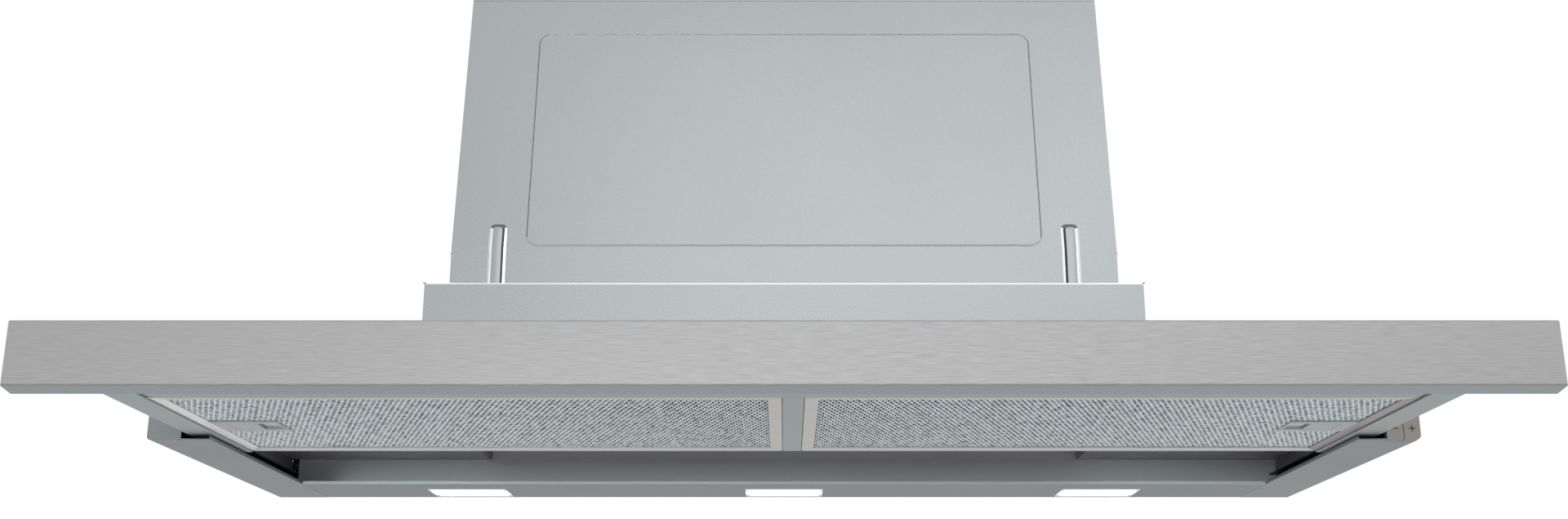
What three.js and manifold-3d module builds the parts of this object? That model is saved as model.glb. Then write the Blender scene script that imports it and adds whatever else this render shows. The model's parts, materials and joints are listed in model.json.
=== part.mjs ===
// A pull-out range hood, 900 mm class, shown with its visor drawn out.
// Millimetres. X runs across the hood, -Y is the front, +Z is up.
// The origin is on the wall, in the middle, level with the underside of the cabinet that holds the hood.
import * as THREE from 'three';
import { mergeVertices } from 'three/addons/utils/BufferGeometryUtils.js';
import Module from 'manifold-3d';

const wasm = await Module();
wasm.setup();

// ---- Driving dimensions ----

// Whole hood
const hoodWidth = 898;
const carcassDepth = 290;
const carcassHeight = 33.5;
const bodyWidth = 520;
const sheet = 1;
const gap = 0.3;

// Carcass, the wide and shallow lower case
const sideMemberWidth = 45;
const lipHeight = 2.7;
const frontCornerWidth = 24.2;
const topFlangeDrop = 6;
const innerWallInset = 13;
const innerWallHeight = 12.9;
const channelWidth = 8;
const channelHeight = 17.4;
const cableSpace = 12;
const cableSlot = 5;
const channelUpstand = 20;
const lightStripDepth = 79;

// Lamps
const lampCount = 3;
const lampFromEnd = 131.5;
const lampWidth = 67;
const lampDepth = 42;
const lampFromWall = 6;
const lensThickness = 1.8;
const moduleHeight = 2.6;
const moduleRim = 3;

// Keys in the right front corner
const keyThickness = 4.5;
const keyHeight = 22;
const keyChamfer = 2.5;
const keyTravel = 1;
const keyStem = 5;
const keyStemLength = 5;
const keyHousingDepth = 14;

// Visor
const visorTravel = 200;
const barAhead = 6;
const visorRearRoom = 17;
const barHeight = 39;
const barSheet = 1.2;
const barBevel = 1;
const barFold = 5;
const barLipDepth = 13;
const barLipDrop = 2;
const visorLift = 4.5;
const railRunGap = 2.3;
const railWidth = 23.2;
const railHeight = 22;
const railInnerHeight = 13;
const railBelowFilter = 1;
const railChamfer = 3;
const crossRailHeight = 24;
const crossRailSlot = 4.3;
const crossRailStep = 8;
const dividerWidth = 13.8;
const dividerOffset = 5.9;
const dividerHeight = 15;
const rearRailHeight = 9;
const rearRailDepth = 9;
const runnerLength = 22;
const runnerRoom = 4;
const glideLength = 20;

// Grease filters
const filterDepth = 197;
const filterHeight = 9;
const filterSideBorder = 8.7;
const filterFrontBorder = 6;
const filterRearBorder = 13;
const meshRecess = 0.8;
const meshHeight = 7.4;
const meshFoldPitch = 37;
const meshFoldDepth = 1.8;

// Filter latches
const latchLength = 46;
const latchWidth = 34;
const latchThickness = 3;
const latchPocketDepth = 2;
const sliderLength = 20;
const sliderWidth = 20;
const sliderInset = 10;
const fingerRoom = 14;

// Lower housing and motor box
const housingHeight = 81.5;
const boxSetback = 79;
const bendHeight = 132.5;
const boxHeight = 358.5;
const boxLean = 28.5;
const ledgeOverlap = 5;
const panelWidth = 404;
const panelHeight = 192.3;
const panelAboveBend = 1.5;
const panelRadius = 9.5;
const panelRise = 1;
const beadSpacing = 448.6;
const beadWidth = 14;
const beadFlat = 7.4;
const beadRise = 3;
const beadAboveBend = 20;

// Duct collar and its two non-return flaps
const collarDiameter = 150;
const collarWall = 2;
const collarHeight = 26.2;
const flangeWidth = 10;
const flangeThickness = 2;
const spindleRadius = 2;
const spindleHeight = 8;
const knuckleWall = 1.7;
const knuckleLength = 18;
const knucklePitch = 20;
const knuckleCount = 4;
const flapThickness = 1.5;
const flapEdge = 3.6;
const knuckleRoom = 0.5;
const runningFit = 0.15;

// Fan
const fanFromWall = 100;
const fanHeight = 170;
const scrollStart = 74;
const scrollEnd = 92;
const scrollStartAngle = 60;
const scrollHalfWidth = 62;
const scrollWall = 2;
const outletDepth = 138;
const inletRadius = 52;
const wheelRadius = 65;
const wheelHalfWidth = 55;
const bladeCount = 22;
const bladeDepth = 8;
const bladeThickness = 1.6;
const ringHeight = 8;
const ringThickness = 3;
const hubRadius = 12;
const shaftRadius = 4;
const motorRadius = 40;
const motorInset = 8;
const shaftDepthInMotor = 26;
const bracketRing = 22;
const bracketArmWidth = 12;
const bracketThickness = 2;

// Electrics and fixings
const controlBoxSize = [110, 34, 66];
const driverSize = [80, 22, 42];
const capacitorRadius = 15;
const capacitorHeight = 48;
const terminalSize = [60, 40, 22];
const glandRadius = 8;
const glandLength = 12;
const glandBore = 4;
const clampSize = [1.5, 40, 60];
const clampHeight = 20;
const roundSides = 32;

// ---- Places worked out from them ----

const halfWidth = hoodWidth / 2;
const carcassFront = -carcassDepth;
const carcassBottom = -carcassHeight;
const plateTop = carcassBottom + sheet;
const lipTop = carcassBottom + lipHeight;
const memberInner = halfWidth - sideMemberWidth;
const cornerInner = halfWidth - frontCornerWidth;
const underTopPlate = -sheet - gap;
const innerWall = halfWidth - innerWallInset;
const stripFront = -lightStripDepth;

// The visor is drawn out. Shut, its bar stands a little ahead of the carcass and its rear end near the wall.
const visorFront = carcassFront - barAhead - visorTravel;
const filterBottom = carcassBottom + visorLift;
const railBottom = filterBottom - railBelowFilter;
const railOuter = cornerInner - railRunGap;
const railInner = railOuter - railWidth;
const insideBar = visorFront + barSheet + gap;
const filterRear = -visorRearRoom - visorTravel;
const filterFront = filterRear - filterDepth;
const dividerLeft = dividerOffset - dividerWidth / 2;
const dividerRight = dividerOffset + dividerWidth / 2;

const halfBody = bodyWidth / 2;
const boxFront = carcassFront + boxSetback;
const boxTopDepth = carcassDepth - boxSetback - boxLean;
const collarRadius = collarDiameter / 2;
const collarY = -boxTopDepth / 2;
const collarBase = boxHeight + gap;
const spindleZ = collarBase + spindleHeight;

// ---- Shapes ----

function solidOf(geometry) {
  const bare = geometry.clone();
  bare.deleteAttribute('normal');
  bare.deleteAttribute('uv');
  const merged = mergeVertices(bare);
  return new wasm.Manifold(new wasm.Mesh({
    numProp: 3,
    vertProperties: new Float32Array(merged.attributes.position.array),
    triVerts: new Uint32Array(merged.index.array),
  }));
}

function geometryOf(solid) {
  const mesh = solid.getMesh();
  const geometry = new THREE.BufferGeometry();
  geometry.setAttribute('position', new THREE.BufferAttribute(mesh.vertProperties, 3));
  geometry.setIndex(new THREE.BufferAttribute(mesh.triVerts, 1));
  return geometry;
}

function join(...shapes) {
  const solids = shapes.map(solidOf);
  return geometryOf(solids.reduce((whole, next) => whole.add(next)));
}

function cut(shape, ...tools) {
  const start = solidOf(shape);
  return geometryOf(tools.map(solidOf).reduce((rest, tool) => rest.subtract(tool), start));
}

// A rectangular block between two corners; each range may be given either way round.
function block(xRange, yRange, zRange) {
  const ranges = [xRange, yRange, zRange].map(([a, b]) => [Math.min(a, b), Math.max(a, b)]);
  const box = new THREE.BoxGeometry(...ranges.map(([low, high]) => high - low));
  return box.translate(...ranges.map(([low, high]) => (low + high) / 2));
}

function outline(points) {
  return new THREE.Shape(points.map(([a, b]) => new THREE.Vector2(a, b)));
}

function extruded(shape, depth) {
  return new THREE.ExtrudeGeometry(shape, { depth, bevelEnabled: false, curveSegments: 8 });
}

// Points are [y, z]; the profile runs along X.
function alongX(points, [from, to]) {
  const turn = new THREE.Matrix4().makeBasis(
    new THREE.Vector3(0, 1, 0), new THREE.Vector3(0, 0, 1), new THREE.Vector3(1, 0, 0));
  const start = Math.min(from, to);
  return extruded(outline(points), Math.abs(to - from)).applyMatrix4(turn).translate(start, 0, 0);
}

// Points are [x, z]; the profile runs along Y.
function alongY(points, [from, to]) {
  return extruded(outline(points), to - from).rotateX(Math.PI / 2).translate(0, to, 0);
}

function roundX(radius, [from, to], y, z, sides = roundSides) {
  const rod = new THREE.CylinderGeometry(radius, radius, to - from, sides);
  return rod.rotateZ(Math.PI / 2).translate((from + to) / 2, y, z);
}

function roundZ(radius, [from, to], x, y, sides = roundSides) {
  const rod = new THREE.CylinderGeometry(radius, radius, to - from, sides);
  return rod.rotateX(Math.PI / 2).translate(x, y, (from + to) / 2);
}

// The same [x, z] points for the left (side -1) or the right (side 1) of the hood.
function mirrored(side, points) {
  return points.map(([x, z]) => [side * x, z]);
}

const hood = new THREE.Group();

function add(name, geometry, finish) {
  const [color, roughness, metalness] = finish;
  const mesh = new THREE.Mesh(geometry, new THREE.MeshStandardMaterial({ color, roughness, metalness }));
  mesh.name = name;
  hood.add(mesh);
}

const steel = [0xa9a9aa, 0.35, 0.9];
const silver = [0xa9b1b5, 0.42, 0.7];
const darkSteel = [0x6f7478, 0.5, 0.6];
const meshMetal = [0xa7b0b3, 0.4, 0.8];
const frameMetal = [0xb9b6b4, 0.35, 0.8];
const keyMetal = [0x96918c, 0.45, 0.5];
const blackPlastic = [0x1c1d1f, 0.6, 0];
const greyPlastic = [0x5a5e62, 0.6, 0];
const motorMetal = [0x8d9094, 0.45, 0.7];
const lensGlow = [0xffffff, 0.3, 0];

const sides = [['left', -1], ['right', 1]];

// ---- Carcass ----

const keyBack = carcassFront + keyThickness;
const memberEnd = keyBack + keyTravel + gap;

function sideMember(side) {
  const inner = memberInner;
  const outer = halfWidth;
  const profile = [
    [inner, carcassBottom], [outer, carcassBottom], [outer, underTopPlate],
    [outer - sheet, underTopPlate], [outer - sheet, plateTop], [inner + sheet, plateTop],
    [inner + sheet, lipTop], [inner, lipTop],
  ];
  const member = alongY(mirrored(side, profile), [carcassFront, 0]);
  const corner = [side * cornerInner, side * halfWidth];
  if (side < 0) {
    const endPlate = block(corner, [carcassFront, carcassFront + sheet], [carcassBottom, underTopPlate]);
    return join(member, endPlate);
  }
  const keyRoom = block([cornerInner - gap, halfWidth + 1], [carcassFront - 1, memberEnd],
    [carcassBottom - 1, 0]);
  return cut(member, keyRoom);
}

function topPlate(side) {
  const profile = [
    [carcassFront, 0], [0, 0], [0, -sheet], [carcassFront + sheet, -sheet],
    [carcassFront + sheet, -topFlangeDrop], [carcassFront, -topFlangeDrop],
  ];
  const plate = alongX(profile, [side * (halfBody + gap), side * halfWidth]);
  const corner = block([side * (cornerInner - gap), side * (halfWidth + 1)],
    [carcassFront - 1, carcassFront + sheet + 0.01], [-topFlangeDrop - 1, -sheet]);
  return cut(plate, corner);
}

// The slide channel hangs under the inner side wall and takes the runner at the back of the visor.
const channelOuter = innerWall;
const channelTop = underTopPlate - innerWallHeight - gap;
const channelBottom = channelTop - channelHeight;
const keyHousingBack = memberEnd + keyHousingDepth;
const runnerRear = filterRear;
const channelSpan = [keyHousingBack + 1, runnerRear + visorTravel + runnerRoom];

function slideChannel(side) {
  const inner = channelOuter - channelWidth;
  const profile = [
    [inner, channelBottom], [channelOuter, channelBottom], [channelOuter, channelTop],
    [inner, channelTop], [inner, channelTop - sheet], [channelOuter - sheet, channelTop - sheet],
    [channelOuter - sheet, channelBottom + sheet], [inner, channelBottom + sheet],
  ];
  return alongY(mirrored(side, profile), channelSpan);
}

function innerSideWall(side) {
  return block([side * (innerWall - sheet), side * innerWall], [channelSpan[0], channelSpan[1]],
    [underTopPlate - innerWallHeight, underTopPlate]);
}

for (const [word, side] of sides) {
  add(`carcass_side_${word}`, sideMember(side), silver);
  add(`carcass_top_${word}`, topPlate(side), silver);
  add(`inner_side_wall_${word}`, innerSideWall(side), darkSteel);
  add(`slide_channel_${word}`, slideChannel(side), blackPlastic);
  add(`front_glide_${word}`, block([side * (memberInner + 2), side * (railOuter - 1)],
    [keyHousingBack + 1, keyHousingBack + 1 + glideLength], [plateTop + gap, railBottom - gap]), blackPlastic);
}

// One folded sheet: the back against the wall, a web on top, and the wall seen inside. Cables run in it.
// Its middle part stands up into the lower housing.
const moduleTop = plateTop + gap + moduleHeight;
const rearChannelProfile = [
  [0, underTopPlate], [0, lipTop + gap], [-sheet, lipTop + gap], [-sheet, underTopPlate - sheet],
  [sheet - cableSpace, underTopPlate - sheet], [sheet - cableSpace, moduleTop + gap],
  [-cableSpace, moduleTop + gap], [-cableSpace, underTopPlate],
];
const backEnd = halfWidth - sheet - gap;
const backPlate = block([-backEnd, backEnd], [-sheet, 0], [lipTop + gap, underTopPlate]);
const seenWall = alongX(rearChannelProfile, [-(innerWall - 2 - cableSlot), innerWall - sheet - gap]);
const upstandHalf = halfBody - sheet - gap;
const upstand = block([-upstandHalf, upstandHalf], [-cableSpace, sheet - cableSpace],
  [underTopPlate - sheet, channelUpstand]);
add('rear_channel', join(seenWall, backPlate, upstand), darkSteel);

// ---- Light strip and lamps ----

const lampBack = -lampFromWall;
const lampFront = lampBack - lampDepth;
const lampPitch = (memberInner - lampFromEnd) / ((lampCount - 1) / 2);
const lamps = Array.from({ length: lampCount }, (_, i) => (i - (lampCount - 1) / 2) * lampPitch);
const lampWords = lampCount === 3 ? ['left', 'middle', 'right'] : lamps.map((_, i) => `${i + 1}`);

function lightStrip() {
  const profile = [
    [-sheet - gap, carcassBottom], [-sheet - gap, plateTop], [stripFront + sheet, plateTop],
    [stripFront + sheet, lipTop], [stripFront, lipTop],
    [stripFront, carcassBottom],
  ];
  const half = memberInner - gap;
  const windows = lamps.map((x) => block([x - lampWidth / 2, x + lampWidth / 2],
    [lampFront, lampBack], [carcassBottom - 1, plateTop + 1]));
  return cut(alongX(profile, [-half, half]), ...windows);
}

add('light_strip', lightStrip(), silver);
lamps.forEach((x, i) => {
  const halfLens = lampWidth / 2 - gap;
  const lens = block([x - halfLens, x + halfLens], [lampFront + gap, lampBack - gap],
    [carcassBottom, carcassBottom + lensThickness]);
  const halfModule = lampWidth / 2 + moduleRim;
  const moduleShape = cut(
    block([x - halfModule, x + halfModule], [lampFront - moduleRim, lampBack + moduleRim],
      [plateTop + gap, moduleTop]),
    block([x - halfLens - gap, x + halfLens + gap], [lampFront, lampBack],
      [plateTop, carcassBottom + lensThickness + gap]));
  add(`lamp_lens_${lampWords[i]}`, lens, lensGlow);
  add(`lamp_module_${lampWords[i]}`, moduleShape, greyPlastic);
});

// ---- Keys ----

const keyTop = carcassBottom + keyHeight;
const keyWidth = (frontCornerWidth - gap) / 2;
const keys = [['minus', cornerInner], ['plus', halfWidth - keyWidth]];
const keyMiddleZ = (carcassBottom + keyTop) / 2;

function stemRange(left, extra) {
  const middle = left + keyWidth / 2;
  return [middle - keyStem / 2 - extra, middle + keyStem / 2 + extra];
}

for (const [word, left] of keys) {
  const chamfer = word === 'plus' ? keyChamfer : 0.4;
  const right = left + keyWidth;
  const profile = [
    [left, carcassBottom], [right - chamfer, carcassBottom], [right, carcassBottom + chamfer],
    [right, keyTop], [left, keyTop],
  ];
  const cap = alongY(profile, [carcassFront, keyBack]);
  const stem = block(stemRange(left, 0), [keyBack - 0.5, keyBack + keyStemLength],
    [keyMiddleZ - keyStem / 2, keyMiddleZ + keyStem / 2]);
  add(`key_${word}`, join(cap, stem), keyMetal);
}

function keyHousing() {
  const housingFront = keyBack + keyTravel + gap;
  const across = [cornerInner, halfWidth - sheet - gap];
  const lower = block(across, [housingFront, keyHousingBack], [plateTop + gap, underTopPlate]);
  const upper = block(across, [carcassFront, keyHousingBack - 1], [keyTop + gap, underTopPlate]);
  const stemRoom = keys.map(([, left]) => block(stemRange(left, gap),
    [housingFront - 1, keyBack + keyStemLength + keyTravel + gap],
    [keyMiddleZ - keyStem / 2 - gap, keyMiddleZ + keyStem / 2 + gap]));
  return cut(join(lower, upper), ...stemRoom);
}

add('key_housing', keyHousing(), blackPlastic);

// ---- Lower housing and motor box ----

function boxFrontAt(z) {
  const share = Math.max(0, z - bendHeight) / (boxHeight - bendHeight);
  return boxFront + boxLean * share;
}

function lowerHousing() {
  const outer = block([-halfBody, halfBody], [carcassFront, -sheet - gap], [-sheet, housingHeight]);
  const inner = block([sheet - halfBody, halfBody - sheet], [carcassFront + sheet, 1],
    [-sheet - 1, housingHeight - sheet]);
  const throat = block([sheet - halfBody, halfBody - sheet], [boxFront + ledgeOverlap, 1],
    [0, housingHeight + 1]);
  return cut(outer, inner, throat);
}

const panelFoot = housingHeight + gap;
const panelTop = boxHeight - sheet - gap;

// The front sheet's face, from its foot over the bend to its top, moved out of the face by a distance.
function faceLine(out, from, to) {
  const heights = [from, ...(from < bendHeight && to > bendHeight ? [bendHeight] : []), to];
  return heights.map((z) => [boxFrontAt(z) - out, z]);
}

function motorBoxFront() {
  const sheetProfile = [...faceLine(0, panelFoot, panelTop), ...faceLine(-sheet, panelFoot, panelTop).reverse()];
  const body = alongX(sheetProfile, [-halfBody, halfBody]);

  const low = bendHeight + panelAboveBend;
  const rounded = new THREE.Shape();
  const right = panelWidth / 2;
  rounded.moveTo(-right + panelRadius, 0);
  rounded.lineTo(right - panelRadius, 0);
  rounded.absarc(right - panelRadius, panelRadius, panelRadius, -Math.PI / 2, 0);
  rounded.absarc(right - panelRadius, panelHeight - panelRadius, panelRadius, 0, Math.PI / 2);
  rounded.absarc(-right + panelRadius, panelHeight - panelRadius, panelRadius, Math.PI / 2, Math.PI);
  rounded.absarc(-right + panelRadius, panelRadius, panelRadius, Math.PI, 1.5 * Math.PI);
  const lean = Math.atan(boxLean / (boxHeight - bendHeight));
  const raised = extruded(rounded, panelRise + sheet / 2)
    .rotateX(Math.PI / 2 - lean)
    .translate(0, boxFrontAt(low) + sheet / 2, low);

  const beads = [-1, 1].map((side) => {
    const foot = panelFoot;
    const head = bendHeight + beadAboveBend;
    const wide = [...faceLine(beadRise / 2, foot, head), ...faceLine(-sheet / 2, foot, head).reverse()];
    const narrow = [
      ...faceLine(beadRise, foot, head - beadRise), ...faceLine(-sheet / 2, foot, head - beadRise).reverse(),
    ];
    const middle = side * beadSpacing / 2;
    return join(alongX(wide, [middle - beadWidth / 2, middle + beadWidth / 2]),
      alongX(narrow, [middle - beadFlat / 2, middle + beadFlat / 2]));
  });
  return join(body, raised, ...beads);
}

function motorBoxSide(side) {
  const back = -sheet - gap;
  const profile = [
    ...faceLine(-sheet - gap, panelFoot, panelTop), [back, panelTop], [back, panelFoot],
  ];
  return alongX(profile, [side * (halfBody - sheet), side * halfBody]);
}

add('lower_housing', lowerHousing(), silver);
add('motor_box_front', motorBoxFront(), silver);
for (const [word, side] of sides) {
  add(`motor_box_side_${word}`, motorBoxSide(side), silver);
}
add('motor_box_back', block([-halfBody, halfBody], [-sheet, 0], [gap, panelTop]), silver);
add('motor_box_top', cut(
  block([-halfBody, halfBody], [-boxTopDepth, 0], [boxHeight - sheet, boxHeight]),
  roundZ(collarRadius - collarWall, [boxHeight - 2, boxHeight + 1], 0, collarY)), silver);

// ---- Duct collar and flaps ----

function ductCollar() {
  const tube = roundZ(collarRadius, [collarBase, collarBase + collarHeight], 0, collarY, 48);
  const flange = roundZ(collarRadius + flangeWidth, [collarBase, collarBase + flangeThickness], 0, collarY, 48);
  const bore = roundZ(collarRadius - collarWall, [collarBase - 1, collarBase + collarHeight + 1], 0, collarY, 48);
  return cut(join(tube, flange), bore);
}

const spindleEnd = collarRadius - collarWall - 0.6;
const knuckleRadius = spindleRadius + runningFit + knuckleWall;

// Half a disc with its own knuckles on the spindle and room for the other flap's knuckles.
function flap(side) {
  const radius = collarRadius - collarWall - 1.5;
  const thick = [spindleZ - flapThickness / 2, spindleZ + flapThickness / 2];
  const halfDisc = cut(roundZ(radius, thick, 0, collarY, 48), block([-collarRadius, collarRadius],
    [collarY - side * (collarRadius + 1), collarY + side * flapEdge], [spindleZ - 9, spindleZ + 9]));
  const spots = Array.from({ length: knuckleCount }, (_, i) => (i - (knuckleCount - 1) / 2) * knucklePitch);
  const isOwn = (i) => (i % 2 === 0) === (side > 0);
  const own = spots.filter((_, i) => isOwn(i));
  const other = spots.filter((_, i) => !isOwn(i));
  const half = knuckleLength / 2;
  const sleeves = own.map((x) => roundX(knuckleRadius, [x - half, x + half], collarY, spindleZ, 16));
  const tongues = own.map((x) => block([x - half, x + half],
    [collarY, collarY + side * (flapEdge + 1)], thick));
  const roomEdge = knuckleRadius + knuckleRoom;
  const rooms = other.map((x) => block([x - half - 1, x + half + 1],
    [collarY - roomEdge, collarY + roomEdge], [spindleZ - 9, spindleZ + 9]));
  const bore = roundX(spindleRadius + runningFit, [-collarRadius, collarRadius], collarY, spindleZ, 16);
  return cut(join(halfDisc, ...tongues, ...sleeves), bore, ...rooms);
}

add('duct_collar', ductCollar(), greyPlastic);
add('flap_spindle', roundX(spindleRadius, [-spindleEnd, spindleEnd], collarY, spindleZ, 16), motorMetal);
add('flap_front', flap(-1), greyPlastic);
add('flap_rear', flap(1), greyPlastic);

// ---- Fan ----

const fanY = -fanFromWall;

// The scroll's wall line: a spiral from the cut-off round to the front, then up to the outlet.
function scrollLine(inset, top) {
  const steps = 20;
  const start = scrollStartAngle * Math.PI / 180;
  const turn = start + Math.PI;
  const spiral = Array.from({ length: steps + 1 }, (_, i) => {
    const share = i / steps;
    const angle = start - turn * share;
    const radius = scrollStart + (scrollEnd - scrollStart) * share - inset;
    return [fanY + radius * Math.cos(angle), fanHeight + radius * Math.sin(angle)];
  });
  const half = outletDepth / 2 - inset;
  return [[collarY - half, top], [collarY + half, top], ...spiral];
}

function fanScroll() {
  const outer = alongX(scrollLine(0, panelTop), [-scrollHalfWidth, scrollHalfWidth]);
  const inside = scrollHalfWidth - scrollWall;
  const inner = alongX(scrollLine(scrollWall, panelTop + 1), [-inside, inside]);
  const inlets = roundX(inletRadius, [-scrollHalfWidth - 1, scrollHalfWidth + 1], fanY, fanHeight);
  return cut(outer, inner, inlets);
}

function fanWheel() {
  const disc = roundX(wheelRadius, [-1, 1], fanY, fanHeight);
  const hub = roundX(hubRadius, [-10, 6], fanY, fanHeight, 20);
  const rings = [-1, 1].map((side) => {
    const span = [side * wheelHalfWidth, side * (wheelHalfWidth - ringThickness)].sort((a, b) => a - b);
    return cut(roundX(wheelRadius, span, fanY, fanHeight),
      roundX(wheelRadius - ringHeight, [span[0] - 1, span[1] + 1], fanY, fanHeight));
  });
  const blades = Array.from({ length: bladeCount }, (_, i) => {
    const angle = i * 2 * Math.PI / bladeCount;
    return block([-wheelHalfWidth + 1, wheelHalfWidth - 1],
      [wheelRadius - bladeDepth, wheelRadius - 1.5], [-bladeThickness / 2, bladeThickness / 2])
      .rotateX(angle).translate(0, fanY, fanHeight);
  });
  const bore = roundX(shaftRadius + gap, [-12, 12], fanY, fanHeight, 16);
  return cut(join(disc, hub, ...rings, ...blades), bore);
}

const motorStart = motorInset;
const motorEnd = scrollHalfWidth;
const shaftEnd = motorStart + shaftDepthInMotor;

function fanMotor() {
  const can = roundX(motorRadius, [motorStart, motorEnd], fanY, fanHeight);
  const bore = roundX(shaftRadius + gap, [motorStart - 1, shaftEnd + gap], fanY, fanHeight, 16);
  return cut(can, bore);
}

// Three arms that carry the motor on the rim of the scroll's inlet.
function motorBracket() {
  const span = [motorEnd + gap, motorEnd + gap + bracketThickness];
  const ring = roundX(bracketRing, span, fanY, fanHeight);
  const arms = [0, 1, 2].map((i) => block(span, [-bracketArmWidth / 2, bracketArmWidth / 2],
    [0, inletRadius + 8]).rotateX(i * 2 * Math.PI / 3).translate(0, fanY, fanHeight));
  const hole = roundX(bracketRing / 2, [span[0] - 1, span[1] + 1], fanY, fanHeight, 20);
  return cut(join(ring, ...arms), hole);
}

add('fan_scroll', fanScroll(), greyPlastic);
add('fan_wheel', fanWheel(), blackPlastic);
add('motor_shaft', roundX(shaftRadius, [-10, shaftEnd], fanY, fanHeight, 16), motorMetal);
add('fan_motor', fanMotor(), motorMetal);
add('motor_bracket', motorBracket(), silver);

// ---- Electrics, on the back of the motor box and on its top ----

const backFace = -sheet - gap;

function onBack([width, depth, height], x, z) {
  return block([x - width / 2, x + width / 2], [backFace - depth, backFace], [z, z + height]);
}

const besideFan = (scrollHalfWidth + halfBody) / 2;
add('control_box', onBack(controlBoxSize, -besideFan, fanHeight), greyPlastic);
add('led_driver', onBack(driverSize, besideFan, housingHeight + 20), blackPlastic);
add('capacitor', roundZ(capacitorRadius, [fanHeight, fanHeight + capacitorHeight], besideFan,
  backFace - capacitorRadius, 20), motorMetal);

const terminalX = (collarRadius + halfBody) / 2;
const terminalEnd = terminalX + terminalSize[0] / 2;
const terminalZ = collarBase + terminalSize[2] / 2;
add('terminal_box', block([terminalX - terminalSize[0] / 2, terminalEnd],
  [collarY - terminalSize[1] / 2, collarY + terminalSize[1] / 2],
  [collarBase, collarBase + terminalSize[2]]), greyPlastic);
add('cable_gland', cut(
  roundX(glandRadius, [terminalEnd + gap, terminalEnd + gap + glandLength], collarY, terminalZ, 24),
  roundX(glandBore, [terminalEnd, terminalEnd + glandLength + 2], collarY, terminalZ, 16)), blackPlastic);

// ---- Clamps that hold the hood in the cabinet ----

for (const [word, side] of sides) {
  const face = side * (halfBody + gap);
  add(`cabinet_clamp_${word}`, block([face, face + side * clampSize[0]],
    [collarY - clampSize[1] / 2, collarY + clampSize[1] / 2],
    [clampHeight, clampHeight + clampSize[2]]), motorMetal);
}

// ---- Visor ----

function barProfile() {
  const front = visorFront;
  const bottom = -barHeight;
  const inner = front + barSheet;
  return [
    [front + barFold, 0], [front + barBevel, 0], [front, -barBevel], [front, bottom],
    [front + barLipDepth, bottom - barLipDrop], [front + barLipDepth, bottom - barLipDrop + barSheet],
    [inner, bottom + barSheet], [inner, -barSheet], [front + barFold, -barSheet],
  ];
}

function frontBar() {
  const strip = alongX(barProfile(), [-halfWidth, halfWidth]);
  const ends = sides.map(([, side]) => block([side * halfWidth, side * (halfWidth - barSheet)],
    [visorFront + barBevel, visorFront + barFold], [-barBevel, -barHeight]));
  return join(strip, ...ends);
}

// A tray that carries the filters: its web stands behind the bar and its floor runs back under them.
function crossRail() {
  const top = railBottom + crossRailHeight;
  const back = filterFront - gap;
  const step = back - crossRailStep;
  const profile = [
    [insideBar, railBottom], [step, railBottom], [step + 1, filterBottom], [back, filterBottom],
    [back, filterBottom + sheet], [step, filterBottom + sheet], [step - 1, railBottom + sheet],
    [insideBar + sheet, railBottom + sheet], [insideBar + sheet, top], [insideBar, top],
  ];
  const half = railInner - crossRailSlot;
  return alongX(profile, [-half, half]);
}

function visorRail(side) {
  const top = railBottom + railHeight;
  const innerTop = railBottom + railInnerHeight;
  const profile = [
    [railInner, railBottom], [railOuter - railChamfer, railBottom], [railOuter, railBottom + railChamfer],
    [railOuter, top], [railOuter - sheet, top], [railOuter - sheet, railBottom + railChamfer + sheet],
    [railOuter - railChamfer - sheet, railBottom + sheet], [railInner + sheet, railBottom + sheet],
    [railInner + sheet, innerTop], [railInner, innerTop],
  ];
  return alongY(mirrored(side, profile), [insideBar, filterRear]);
}

const dividerTop = filterBottom + dividerHeight;
const rearRailBottom = filterBottom + filterHeight + gap;

function visorDivider() {
  const profile = [
    [dividerLeft, filterBottom], [dividerRight, filterBottom], [dividerRight, dividerTop],
    [dividerRight - sheet, dividerTop], [dividerRight - sheet, filterBottom + sheet],
    [dividerLeft + sheet, filterBottom + sheet], [dividerLeft + sheet, dividerTop], [dividerLeft, dividerTop],
  ];
  const channel = alongY(profile, [filterFront, filterRear]);
  const railRoom = block([dividerLeft - 1, dividerRight + 1],
    [filterRear - rearRailDepth - gap, filterRear + 1], [rearRailBottom - gap, dividerTop + 1]);
  return cut(channel, railRoom);
}

function rearRail() {
  const half = railInner - gap;
  return block([-half, half], [filterRear - rearRailDepth, filterRear],
    [rearRailBottom, rearRailBottom + rearRailHeight]);
}

add('front_bar', frontBar(), steel);
add('visor_cross_rail', crossRail(), silver);
add('visor_divider', visorDivider(), silver);
add('visor_rear_rail', rearRail(), silver);
for (const [word, side] of sides) {
  add(`visor_rail_${word}`, visorRail(side), silver);
  add(`rail_runner_${word}`, block([side * (railOuter + gap), side * (channelOuter - sheet - gap)],
    [runnerRear - runnerLength, runnerRear],
    [channelBottom + sheet + gap, channelTop - sheet - gap]), blackPlastic);
}

// ---- Grease filters, each with its mesh, latch plate and slider ----

const filters = [
  { word: 'left', side: -1, inner: dividerLeft - gap },
  { word: 'right', side: 1, inner: dividerRight + gap },
];
const filterOuter = railInner - gap;
const meshBottom = filterBottom + meshRecess;
const latchY = (filterFront + filterRear) / 2;

// The mesh pack across the hood: broad folds on both faces, with full height along the frame.
function meshSection([from, to]) {
  const steps = 2 * Math.round((to - from) / meshFoldPitch);
  const stations = Array.from({ length: steps + 1 }, (_, i) => i);
  const across = (i) => from + (to - from) * i / steps;
  const inset = (i) => (i % 2) * meshFoldDepth;
  return [
    ...stations.map((i) => [across(i), meshBottom + inset(i)]),
    ...stations.toReversed().map((i) => [across(i), meshBottom + meshHeight - inset(i)]),
  ];
}

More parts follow.
